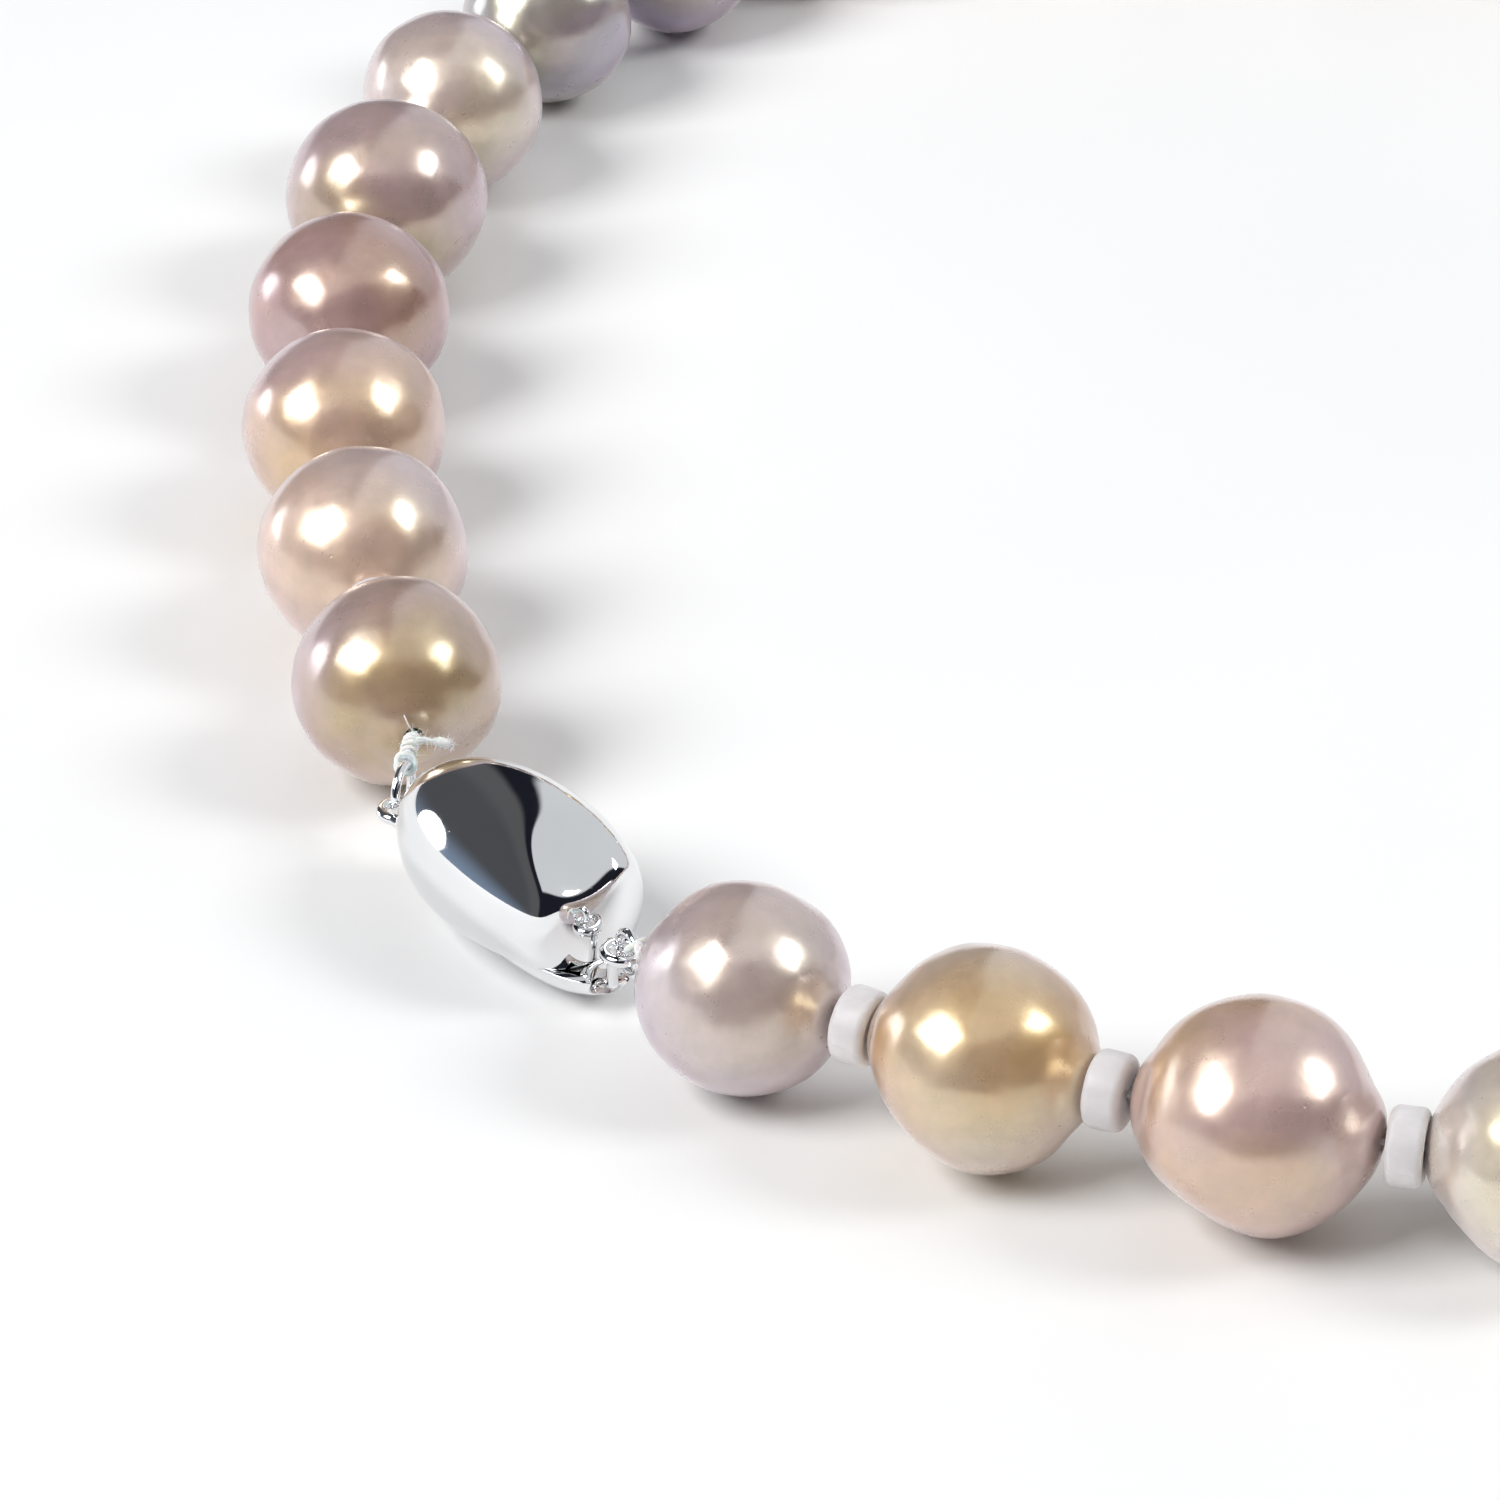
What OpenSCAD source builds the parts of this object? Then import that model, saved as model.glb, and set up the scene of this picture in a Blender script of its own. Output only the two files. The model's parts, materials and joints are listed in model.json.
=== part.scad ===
// Pearl necklace laid in a loop on a table and closed by a magnetic clasp.
// Millimetres, +Z up. The origin is the centre of the loop, on the table.
// Pearl 1 is next to the clasp's upper half, pearl 31 next to its lower half.

/* [Pearls] */
// Diameter of the bore through a pearl
bore_d = 1.0; // [0.8:0.1:1.2]
// Free length between the bore mouths of two neighbouring pearls
pearl_gap = 2.0; // [2.0:0.05:2.1]

/* [Spacers] */
// Outer diameter of a silicone spacer
spacer_d = 4.0; // [3.6:0.1:4.0]
// Thickness of a silicone spacer
spacer_t = 1.7; // [1.5:0.05:1.7]
// Diameter of the hole through a spacer
spacer_bore_d = 0.8; // [0.7:0.1:1.0]

/* [Clasp] */
// Length of the upper half's pebble shape
upper_l = 17.4; // [17.2:0.1:17.6]
// Width and height of the upper half's pebble shape
upper_d = 9.4; // [9.2:0.1:9.6]
// Length of the lower half's dish
lower_l = 15.2; // [15:0.1:15.4]
// Width of the lower half's dish
lower_d = 6.6; // [6.5:0.1:6.8]
// Height above the table at which the two halves part
parting_z = 2.5; // [2.4:0.05:2.6]
// Wall thickness of the two shells
shell_wall = 0.5; // [0.4:0.05:0.6]
// Thickness of the plates that close the two shells
plate_t = 0.4; // [0.3:0.05:0.4]
// Clearance between the two halves at the parting
parting_gap = 0.08; // [0.06:0.01:0.1]
// Wire diameter of the fixed eyes
eye_wire_d = 0.6; // [0.5:0.05:0.6]
// Diameter of an eye at the middle of its wire
eye_d = 1.8; // [1.7:0.05:1.9]

/* [Rings and thread] */
// Wire diameter of the jump rings
ring_wire_d = 0.5; // [0.4:0.05:0.5]
// Diameter of the left jump ring at the middle of its wire
left_ring_d = 2.7; // [2.6:0.05:2.7]
// Diameter of the right jump ring at the middle of its wire
right_ring_d = 2.2; // [2.15:0.05:2.25]
// Diameter of the stringing thread
thread_d = 0.4; // [0.3:0.05:0.4]
// Diameter of the larger half of the left knot
left_knot_d = 1.3; // [1.0:0.1:1.3]
// Diameter of the larger half of the right knot
right_knot_d = 0.9; // [0.85:0.05:0.95]

/* [Hidden] */
$fn = 64;

// Diameters of the pearls, 1 to 31, graded by hand as on a strand of near-round pearls
pearl_d = [
    11.6, 12.0, 11.9, 12.0, 12.4, 11.6, 11.0, 11.0, 11.4, 11.8,
    11.2, 11.6, 12.0, 11.4, 11.8, 12.0, 11.8, 11.2, 11.6, 12.0,
    11.4, 11.8, 11.2, 11.6, 12.2, 11.6, 11.4, 12.0, 12.4, 11.8, 11.2
];
pearl_count = len(pearl_d);
middle = 16;

// How the strand lies: headings in degrees, counted from +X towards +Y
clasp_heading = -52;
left_heading = 101;
right_heading = -32;
// Bend at each gap, from the clasp towards the middle of the strand
left_bend = [2, 4, 7, 8, 9, 11, 15, 15, 15, 15, 13, 12, 10];
right_bend = [5, 8, 12, 15, 13, 13, 13, 11, 12, 10, 10, 10, 8];
// Bore mouths nearest the clasp, in the clasp's own axes (along it, across it)
left_mouth_local = [-12.3, 2.1];
right_mouth_local = [11.6, -0.8];

// The clasp in its own axes: X along it, Y across it, Z up from the table. The upper
// half is centred on X = 0 and the lower half reaches further towards pearl 31.
upper_bulge = 2.1;
lower_bulge = 2.6;
spacer_bulge = 2.2;
profile_steps = 20;
lower_middle = 1.2;
upper_end = 6.7;
// A thumb trough across the top: its radius, its lowest point on the cut-off end, and
// how steeply its floor climbs from there towards the middle of the clasp
trough_r = 5.5;
trough_at = [6.7, -1.3, 6.65];
trough_slope = 35;
cup_r = 1.6;
cup_at = 8.4;
cup_floor = 1.5;
post_d = 0.5;
upper_magnet_size = [7, 4, 2];
upper_magnet_at = -1;
lower_magnet_size = [6, 3, 0.9];
left_eye_at = [-9.1, -1.2, 4.15];
right_eye_at = [8.45, 3.9];
// How far a ring's centre is above the eye that it hangs in
left_ring_rise = 0.45;
right_ring_rise = 0.5;
// Angle round the ring, up from level, at which the thread is tied
tie_angle = 50;
// Where each knot sits on its thread's tail, as a share of its length from the ring
left_knot_place = 0.55;
right_knot_place = 0.6;
// The knot's upper lump: its height above the larger one, and its size, as shares of it
lump_rise = 0.42;
lump_share = 0.75;
knot_slack = 0.3;
// The thread turns just outside the bore's mouth and ends a little way in
turn_before = 0.35;
thread_inside = 1;
loop_slack = 0.3;
// The thread's own loop and its turn at the bore are a little thicker than its tail
loop_wire_d = thread_d + 0.08;
turn_d = thread_d + 0.06;
// Length that clears the whole clasp
far = 12;

function two_digits(k) = k < 10 ? str("0", k) : str(k);
function pearl_name(k) = str("pearl_", two_digits(k));
function spacers_name(k) = str("spacers_", two_digits(k));

// ---- the way the strand lies ----

function dir(a) = [cos(a), sin(a)];
function turned(p, a) = [p.x * cos(a) - p.y * sin(a), p.x * sin(a) + p.y * cos(a)];
function raised(p, z) = [p.x, p.y, z];
function total(list, n) = n <= 0 ? 0 : list[n - 1] + total(list, n - 1);
function radius(k) = pearl_d[k - 1] / 2;
function link(k) = pearl_d[k - 1] + pearl_gap;

left_mouth = turned(left_mouth_local, clasp_heading);
right_mouth = turned(right_mouth_local, clasp_heading);

function left_way(k) = left_heading - total(left_bend, k - 1);
function right_way(k) = right_heading + total(right_bend, pearl_count - k);
// The hinge point just past pearl k, walking from the clasp down each side
function left_hinge(k) = k == 0
    ? left_mouth - pearl_gap / 2 * dir(left_heading)
    : left_hinge(k - 1) + link(k) * dir(left_way(k));
function right_hinge(k) = k > pearl_count
    ? right_mouth - pearl_gap / 2 * dir(right_heading)
    : right_hinge(k + 1) + link(k) * dir(right_way(k));

// Three links close the loop: the middle one lies along the chord between the two
// ends, and its two equal neighbours lean away from it by the same angle.
close_from = left_hinge(middle - 2);
close_to = right_hinge(middle + 2);
close_span = close_to - close_from;
chord = atan2(close_span.y, close_span.x);
lean = acos((norm(close_span) - link(middle)) / (2 * link(middle - 1)));

// Heading of pearl k's bore, walking round from pearl 1 to pearl 31
function heading(k) = k < middle - 1 ? left_way(k)
    : k > middle + 1 ? right_way(k) - 180
    : chord + (middle - k) * lean;
function link_start(k) = k < middle ? left_hinge(k - 1)
    : k == middle ? close_from + link(middle - 1) * dir(heading(middle - 1))
    : k == middle + 1 ? close_to - link(middle + 1) * dir(heading(middle + 1))
    : right_hinge(k);
function flat_centre(k) = link_start(k) + link(k) / 2 * dir(heading(k));

// The loop is moved so that its own box is centred on the origin
flat = [for (k = [1:pearl_count]) flat_centre(k)];
function box_middle(axis) = (
    min([for (k = [1:pearl_count]) flat[k - 1][axis] - radius(k)])
    + max([for (k = [1:pearl_count]) flat[k - 1][axis] + radius(k)])) / 2;
shift = -[box_middle(0), box_middle(1)];

function centre(k) = raised(flat[k - 1] + shift, radius(k));
function gap_point(k) = raised(
    flat[k - 1] + shift + link(k) / 2 * dir(heading(k)), (radius(k) + radius(k + 1)) / 2);

clasp_at = raised(shift, 0);
left_eye = raised(
    shift + turned([left_eye_at.x, left_eye_at.y], clasp_heading), left_eye_at.z);
right_eye = raised(shift + turned([right_eye_at.x, 0], clasp_heading), right_eye_at.y);

// One side of the clasp: its eye, the way from the eye to the pearl, the ring that
// hangs in the eye, the place where the thread is tied, and the bore mouth.
function aim(from, to) = atan2(to.y - from.y, to.x - from.x);
function along(p, a, d, z) = [p.x + d * cos(a), p.y + d * sin(a), z];
function ring_reach(ring_d, rise) = sqrt(pow(ring_d / 2, 2) - rise * rise);

left_bore = raised(left_mouth + shift, radius(1));
right_bore = raised(right_mouth + shift, radius(pearl_count));
left_aim = aim(left_eye, left_bore);
right_aim = aim(right_eye, right_bore);
left_ring_at = along(
    left_eye, left_aim, ring_reach(left_ring_d, left_ring_rise), left_eye.z + left_ring_rise);
right_ring_at = along(
    right_eye, right_aim, ring_reach(right_ring_d, right_ring_rise), right_eye.z + right_ring_rise);

function tie_point(ring_at, ring_d, a) = along(
    ring_at, a, ring_d / 2 * cos(tie_angle), ring_at.z + ring_d / 2 * sin(tie_angle));
left_tie = tie_point(left_ring_at, left_ring_d, left_aim);
right_tie = tie_point(right_ring_at, right_ring_d, right_aim);

// ---- pearls and spacers ----

pearl_colours = ["#b9a08f", "#dcc0b4", "#d9bda6", "#b896a0", "#c3aa9c", "#dcc8c4", "#b5a9b4"];

module pearl(k) {
    color(pearl_colours[k % len(pearl_colours)])
    translate(centre(k)) rotate([0, 90, heading(k)]) difference() {
        sphere(r = radius(k));
        cylinder(d = bore_d, h = 2 * far, center = true);
    }
}

// Half of a rounded profile about the Y axis: a bulge of 2 is an ellipse, more is fuller
function rounded_profile(half_l, r, bulge) = [
    for (i = [0:profile_steps]) let (a = -90 + 180 * i / profile_steps)
    [r * pow(cos(a), 2 / bulge), half_l * sign(a) * pow(abs(sin(a)), 2 / bulge)]];

module spacer(k) {
    translate(gap_point(k)) rotate([0, 90, (heading(k) + heading(k + 1)) / 2]) difference() {
        rotate_extrude() polygon(rounded_profile(spacer_t / 2, spacer_d / 2, spacer_bulge));
        cylinder(d = spacer_bore_d, h = far, center = true);
    }
}

// The two spacers on either side of an even pearl
module spacers(k) {
    color("#e6e4e6") {
        spacer(k - 1);
        spacer(k);
    }
}

// ---- clasp, in its own axes ----

module in_clasp() {
    translate(clasp_at) rotate([0, 0, clasp_heading]) children();
}

module pebble(length, width, bulge, inset) {
    rotate([0, 90, 0]) rotate_extrude()
        polygon(rounded_profile(length / 2 - inset, width / 2 - inset, bulge));
}

// The whole body that the upper half is cut from, shrunk on every side by the inset
module upper_body(inset) {
    translate([0, 0, upper_d / 2]) pebble(upper_l, upper_d, upper_bulge, inset);
}

module lower_body(inset) {
    translate([lower_middle, 0, lower_d / 2]) pebble(lower_l, lower_d, lower_bulge, inset);
}

// Everything above a level
module above(z) {
    translate([-far, -far, z]) cube(2 * far);
}

// The thumb trough and the cut that shortens the end by pearl 31
module upper_cuts(wall) {
    translate(trough_at + [0, 0, trough_r / cos(trough_slope)]) rotate([0, 90 + trough_slope, 0])
        cylinder(r = trough_r + wall, h = 4 * far, center = true);
    translate([upper_end - wall, -far, -far]) cube(2 * far);
}

// The cup in the lower half's end, where the eye and its ring sit
module cup(wall) {
    translate([cup_at, 0, cup_floor - wall]) cylinder(r = cup_r + wall, h = far);
}

upper_floor = parting_z + parting_gap;

module upper_shell() {
    color("#c9cdd2") in_clasp() difference() {
        intersection() {
            upper_body(0);
            above(upper_floor);
        }
        upper_cuts(0);
        difference() {
            upper_body(shell_wall);
            upper_cuts(shell_wall);
        }
    }
}

module upper_cover_plate() {
    color("#8f969c") in_clasp() difference() {
        intersection() {
            upper_body(shell_wall);
            above(upper_floor);
        }
        upper_cuts(shell_wall);
        above(upper_floor + plate_t);
    }
}

// A block magnet whose underside is at a height
module magnet(size, at_x, z) {
    color("#55585c") in_clasp() translate([at_x - size.x / 2, -size.y / 2, z]) cube(size);
}

module upper_magnet() {
    magnet(upper_magnet_size, upper_magnet_at, upper_floor + plate_t);
}

module lower_shell() {
    color("#c9cdd2") in_clasp() difference() {
        lower_body(0);
        above(parting_z);
        cup(0);
        difference() {
            lower_body(shell_wall);
            cup(shell_wall);
        }
    }
}

module lower_cover_plate() {
    color("#8f969c") in_clasp() difference() {
        intersection() {
            lower_body(shell_wall);
            above(parting_z - plate_t);
        }
        above(parting_z);
        cup(shell_wall);
    }
}

module lower_magnet() {
    magnet(lower_magnet_size, 0, parting_z - plate_t - lower_magnet_size.z);
}

module torus(middle_d, wire_d) {
    rotate_extrude() translate([middle_d / 2, 0]) circle(d = wire_d);
}

module upper_eye() {
    color("#b9bec4") in_clasp() difference() {
        translate(left_eye_at) torus(eye_d, eye_wire_d);
        upper_body(0);
    }
}

// The lower eye stands on a post in the cup, so that the upper half can pass it
module lower_eye() {
    color("#b9bec4") in_clasp() difference() {
        union() {
            translate([right_eye_at.x, 0, right_eye_at.y]) torus(eye_d, eye_wire_d);
            translate([right_eye_at.x - eye_d / 2, 0, cup_floor])
                cylinder(d = post_d, h = right_eye_at.y - cup_floor);
        }
        difference() {
            lower_body(0);
            cup(0);
        }
    }
}

// ---- rings, thread and knots ----

module jump_ring(at, ring_d, a) {
    translate(at) rotate([90, 0, a]) torus(ring_d, ring_wire_d);
}

module left_jump_ring() {
    color("#aeb4ba") jump_ring(left_ring_at, left_ring_d, left_aim);
}

module right_jump_ring() {
    color("#aeb4ba") jump_ring(right_ring_at, right_ring_d, right_aim);
}

module rod(from, to, d) {
    run = to - from;
    translate(from) rotate([0, acos(run.z / norm(run)), atan2(run.y, run.x)])
        cylinder(d = d, h = norm(run));
}

loop_d = ring_wire_d + loop_wire_d + loop_slack;

// Where the thread leaves its loop, and where it turns into the pearl's bore
function tail_start(tie, a) = along(
    tie, a, loop_d / 2 * cos(tie_angle), tie.z + loop_d / 2 * sin(tie_angle));
function tail_end(bore, way) = bore - turn_before * raised(dir(way), 0);

// A loop round the ring's wire, a tail to the pearl and a short end in its bore
module thread(tie, a, bore, way) {
    bend = tail_end(bore, way);
    translate(tie) rotate([90, 0, a]) rotate([0, 0, tie_angle]) rotate([90, 0, 0])
        torus(loop_d, loop_wire_d);
    rod(tail_start(tie, a), bend, thread_d);
    translate(bend) sphere(d = turn_d);
    rod(bend, bore + thread_inside * raised(dir(way), 0), thread_d);
}

module left_thread() {
    color("#f2f1ee")
        thread(left_tie, left_aim, left_bore, left_heading);
}

module right_thread() {
    color("#f2f1ee")
        thread(right_tie, right_aim, right_bore, right_heading);
}

// Two lumps on the thread's tail, with a hole that clears the thread
module knot(tie, a, bore, way, knot_d, place) {
    bend = tail_end(bore, way);
    start = tail_start(tie, a);
    run = bend - start;
    at = start + place * run;
    difference() {
        union() {
            translate(at) sphere(d = knot_d);
            translate(at + [0, 0, lump_rise * knot_d]) sphere(d = lump_share * knot_d);
        }
        rod(start - 2 * run, bend + 2 * run, thread_d + knot_slack);
    }
}

module left_knot() {
    color("#ecebe7")
        knot(left_tie, left_aim, left_bore, left_heading, left_knot_d, left_knot_place);
}

module right_knot() {
    color("#ecebe7")
        knot(right_tie, right_aim, right_bore, right_heading, right_knot_d, right_knot_place);
}

for (k = [1:pearl_count]) {
    pearl(k);
}
for (k = [2:2:pearl_count - 1]) {
    spacers(k);
}
upper_shell();
upper_cover_plate();
upper_magnet();
upper_eye();
lower_shell();
lower_cover_plate();
lower_magnet();
lower_eye();
left_jump_ring();
right_jump_ring();
left_thread();
right_thread();
left_knot();
right_knot();
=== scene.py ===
import json
import math

import bpy
import numpy as np
from mathutils import Matrix, Vector, noise


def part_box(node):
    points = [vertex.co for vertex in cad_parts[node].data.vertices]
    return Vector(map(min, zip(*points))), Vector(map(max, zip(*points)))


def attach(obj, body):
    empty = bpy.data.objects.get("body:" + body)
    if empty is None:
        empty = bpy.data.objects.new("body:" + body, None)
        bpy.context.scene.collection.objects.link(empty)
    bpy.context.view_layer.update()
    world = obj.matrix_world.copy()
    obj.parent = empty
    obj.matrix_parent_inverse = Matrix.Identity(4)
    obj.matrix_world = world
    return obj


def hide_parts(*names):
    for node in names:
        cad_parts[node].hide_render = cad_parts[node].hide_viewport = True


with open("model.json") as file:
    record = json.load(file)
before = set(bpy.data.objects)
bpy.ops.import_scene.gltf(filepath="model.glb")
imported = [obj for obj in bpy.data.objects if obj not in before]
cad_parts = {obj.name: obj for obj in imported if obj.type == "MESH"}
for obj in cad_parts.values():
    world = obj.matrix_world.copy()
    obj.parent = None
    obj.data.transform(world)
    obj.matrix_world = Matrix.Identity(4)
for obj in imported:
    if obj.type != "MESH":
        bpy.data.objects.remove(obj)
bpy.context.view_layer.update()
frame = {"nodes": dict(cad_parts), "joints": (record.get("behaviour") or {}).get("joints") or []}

MM = 0.001
joints = {j["name"]: j for j in frame["joints"]}
PEARLS = sum(name.startswith("pearl_") for name in frame["nodes"])


def joint_at(name):
    """Where a joint's axis is, in millimetres."""
    return Vector(joints[name]["pos_m"]) / MM


def middle_of(node):
    low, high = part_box(node)
    return (low + high) / 2 / MM


def level(v):
    return Vector((v.x, v.y, 0)).normalized()


# ---- places, from the frame, in millimetres ----

UP = Vector((0, 0, 1))
left_eye = joint_at("upper_half_turn")
right_eye = joint_at("lower_half_turn")
left_tie = joint_at("left_ring_lift")
right_tie = joint_at("right_ring_swing")
# The clasp's own axes: along it towards pearl 31, across it towards the inside, and up
magnet = middle_of("upper_magnet")
ALONG = level(right_eye - magnet)
ACROSS = UP.cross(ALONG)
MAGNET_U = -1.0
clasp = Vector((magnet.x, magnet.y, 0)) - MAGNET_U * ALONG
centre = {k: middle_of(f"pearl_{k:02d}") for k in range(1, PEARLS + 1)}
gap = {k: joint_at(f"bend_{k:02d}_{k + 1:02d}") for k in range(1, PEARLS)}


def pearl_radius(k):
    low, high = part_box(f"pearl_{k:02d}")
    return max(high - low) / 2 / MM


def bore_way(k):
    """The level direction of pearl k's bore, walking from pearl 1 to pearl 31."""
    if k == 1:
        return level(gap[1] - centre[1])
    if k == PEARLS:
        return level(centre[k] - gap[k - 1])
    return level(gap[k] - gap[k - 1])


# ---- camera ----

LOOK_DOWN = math.radians(31.3)
LOOK_DISTANCE = 392
# The focal length in units of the picture's width
FOCAL_LENGTH = 4.885
LOOK_AT = clasp + Vector((11.6, 19.3, 0))

camera = bpy.data.objects.new("camera", bpy.data.cameras.new("camera"))
bpy.context.scene.collection.objects.link(camera)
camera.data.sensor_width = 36
camera.data.lens = FOCAL_LENGTH * camera.data.sensor_width
towards_camera = Vector((0, -math.cos(LOOK_DOWN), math.sin(LOOK_DOWN)))
camera.location = (LOOK_AT + LOOK_DISTANCE * towards_camera) * MM
camera.rotation_euler = (math.pi / 2 - LOOK_DOWN, 0, 0)
camera.data.clip_start = 0.01
camera.data.clip_end = 20
bpy.context.scene.camera = camera

# ---- meshes ----


def mesh_piece(name, points_mm, faces, material, body, replaced=()):
    mesh = bpy.data.meshes.new(name)
    mesh.from_pydata([tuple(p) for p in np.asarray(points_mm) * MM], [], faces)
    mesh.validate()
    mesh.shade_smooth()
    mesh.materials.append(material)
    piece = bpy.data.objects.new(name, mesh)
    bpy.context.scene.collection.objects.link(piece)
    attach(piece, body)
    if replaced:
        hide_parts(*replaced)
    return piece


class Mesh:
    """Points and faces that several parts of one piece are added to."""

    def __init__(self):
        self.points = []
        self.faces = []

    def add(self, points, faces):
        start = len(self.points)
        self.points += [tuple(p) for p in points]
        self.faces += [tuple(start + i for i in face) for face in faces]


def grid_faces(rows, columns, close_rows=False):
    """Quads between rings of points; the columns always close round."""
    last = rows if close_rows else rows - 1
    return [
        (i * columns + j, i * columns + (j + 1) % columns,
         (i + 1) % rows * columns + (j + 1) % columns, (i + 1) % rows * columns + j)
        for i in range(last) for j in range(columns)
    ]


def side_axes(way):
    """Two directions at right angles to a level or steep direction."""
    helper = UP if abs(way.z) < 0.9 else Vector((1, 0, 0))
    first = way.cross(helper).normalized()
    return first, way.cross(first).normalized()


def revolve(profile, at, way, columns, closed=False):
    """Rings of (distance along, radius) points round a line through a point."""
    first, second = side_axes(way)
    points = []
    for along, radius in profile:
        for j in range(columns):
            turn = 2 * math.pi * j / columns
            out = math.cos(turn) * first + math.sin(turn) * second
            points.append(at + along * way + radius * out)
    return points, grid_faces(len(profile), columns, closed)


def rope(path, radius, plies=2, pitch=1.4, columns=14, taper=0.0, swell=None):
    """A twisted strand along a list of points: its section has one lobe for each ply."""
    points = []
    run = 0.0
    side = side_axes((path[1] - path[0]).normalized())[0]
    for i, at in enumerate(path):
        ahead = path[min(i + 1, len(path) - 1)]
        behind = path[max(i - 1, 0)]
        way = (ahead - behind).normalized()
        side = (side - side.dot(way) * way).normalized()
        other = way.cross(side)
        if i:
            run += (at - behind).length
        twist = 2 * math.pi * run / pitch
        share = i / (len(path) - 1)
        size = radius * (1 - taper * share) * (swell(share) if swell else 1)
        for j in range(columns):
            turn = 2 * math.pi * j / columns
            lobe = size * (0.78 + 0.22 * abs(math.cos((turn - twist) * plies / 2)))
            points.append(at + lobe * (math.cos(turn) * side + math.sin(turn) * other))
    faces = grid_faces(len(path), columns)
    faces.append(tuple(reversed(range(columns))))
    faces.append(tuple(range((len(path) - 1) * columns, len(path) * columns)))
    return points, faces


# ---- node helpers for materials ----


class Material:
    """A node material with a Principled shader and short ways to add what varies."""

    def __init__(self, name, **settings):
        self.material = bpy.data.materials.new(name)
        self.material.use_nodes = True
        self.nodes = self.material.node_tree.nodes
        self.links = self.material.node_tree.links
        self.shader = self.nodes["Principled BSDF"]
        for key, value in settings.items():
            self.shader.inputs[key.replace("_", " ")].default_value = value
        self.where = self.nodes.new("ShaderNodeTexCoord").outputs["Object"]
        self.normal = None

    def noise(self, scale_mm, detail=3, roughness=0.5, distortion=0.0, stretch=None):
        """Noise whose features are about as large as the scale, in millimetres."""
        node = self.nodes.new("ShaderNodeTexNoise")
        node.inputs["Scale"].default_value = 1 / (scale_mm * MM)
        node.inputs["Detail"].default_value = detail
        node.inputs["Roughness"].default_value = roughness
        node.inputs["Distortion"].default_value = distortion
        self.links.new(self.stretched(stretch), node.inputs["Vector"])
        return node.outputs["Fac"]

    def stretched(self, stretch):
        if stretch is None:
            return self.where
        mapping = self.nodes.new("ShaderNodeMapping")
        mapping.inputs["Scale"].default_value = stretch
        self.links.new(self.where, mapping.inputs["Vector"])
        return mapping.outputs["Vector"]

    def cells(self, scale_mm):
        node = self.nodes.new("ShaderNodeTexVoronoi")
        node.inputs["Scale"].default_value = 1 / (scale_mm * MM)
        self.links.new(self.where, node.inputs["Vector"])
        return node.outputs["Distance"]

    def ramp(self, value, *stops):
        """Turns a value into a colour or a grey through (place, colour) stops."""
        node = self.nodes.new("ShaderNodeValToRGB")
        elements = node.color_ramp.elements
        while len(elements) < len(stops):
            elements.new(0.5)
        for element, (place, colour) in zip(elements, stops):
            element.position = place
            if isinstance(colour, (int, float)):
                colour = (colour, colour, colour)
            element.color = (*colour, 1)
        self.links.new(value, node.inputs["Fac"])
        return node.outputs["Color"]

    def mix(self, amount, first, second, blend="MIX"):
        node = self.nodes.new("ShaderNodeMix")
        node.data_type = "RGBA"
        node.blend_type = blend
        for socket, value in ((node.inputs[0], amount), (node.inputs[6], first), (node.inputs[7], second)):
            if isinstance(value, bpy.types.NodeSocket):
                self.links.new(value, socket)
            elif isinstance(value, tuple):
                socket.default_value = (*value, 1)
            else:
                socket.default_value = value
        return node.outputs[2]

    def feed(self, socket, value):
        self.links.new(value, self.shader.inputs[socket])

    def bump(self, height, depth_mm, strength=1.0):
        """Adds a bump of a real depth on top of those already there."""
        node = self.nodes.new("ShaderNodeBump")
        node.inputs["Strength"].default_value = strength
        node.inputs["Distance"].default_value = depth_mm * MM
        self.links.new(height, node.inputs["Height"])
        if self.normal:
            self.links.new(self.normal, node.inputs["Normal"])
        self.normal = node.outputs["Normal"]
        self.links.new(self.normal, self.shader.inputs["Normal"])
        return self


# ---- materials ----


# Brings every nacre to the lightness it has in soft light
NACRE_LIFT = (1.16, 1.15, 1.14)


def pearl_material(name, body, warm, orient):
    """Nacre: a body colour, a warmer tone in patches, and a cooler overtone."""
    m = Material(
        f"nacre_{name}", Metallic=0.4, Roughness=0.3, IOR=1.6, Specular_IOR_Level=0.8,
        Subsurface_Weight=0.15, Subsurface_Scale=1.2 * MM, Coat_Weight=1.0, Coat_Roughness=0.19,
        Coat_IOR=1.75, Sheen_Weight=0.35, Sheen_Roughness=0.35, Thin_Film_Thickness=390.0,
        Thin_Film_IOR=1.45)
    m.shader.inputs["Subsurface Radius"].default_value = (1.0, 0.7, 0.6)
    m.shader.inputs["Sheen Tint"].default_value = (1.0, 0.94, 0.97, 1)
    patches = m.ramp(m.noise(6.5, 2, 0.45, 0.6), (0.38, 0.0), (0.64, 1.0))
    drift = m.ramp(m.noise(9.0, 1, 0.4, 0.3), (0.46, 0.0), (0.7, 1.0))
    colour = m.mix(patches, body, warm)
    colour = m.mix(drift, colour, orient)
    colour = m.mix(1.0, colour, NACRE_LIFT, "MULTIPLY")
    mottle = m.ramp(m.noise(1.3, 5, 0.6), (0.3, 0.9), (0.7, 1.06))
    m.feed("Base Color", m.mix(1.0, colour, mottle, "MULTIPLY"))
    m.feed("Roughness", m.ramp(m.noise(2.2, 4, 0.6), (0.3, 0.25), (0.7, 0.37)))
    m.bump(m.noise(2.6, 3, 0.5, 0.4), 0.07, 0.5)
    m.bump(m.noise(0.35, 4, 0.6), 0.006, 0.4)
    # A few pinpoint pits
    m.bump(m.ramp(m.cells(3.4), (0.01, 0.0), (0.035, 1.0)), 0.025, 0.4)
    return m.material


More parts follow.
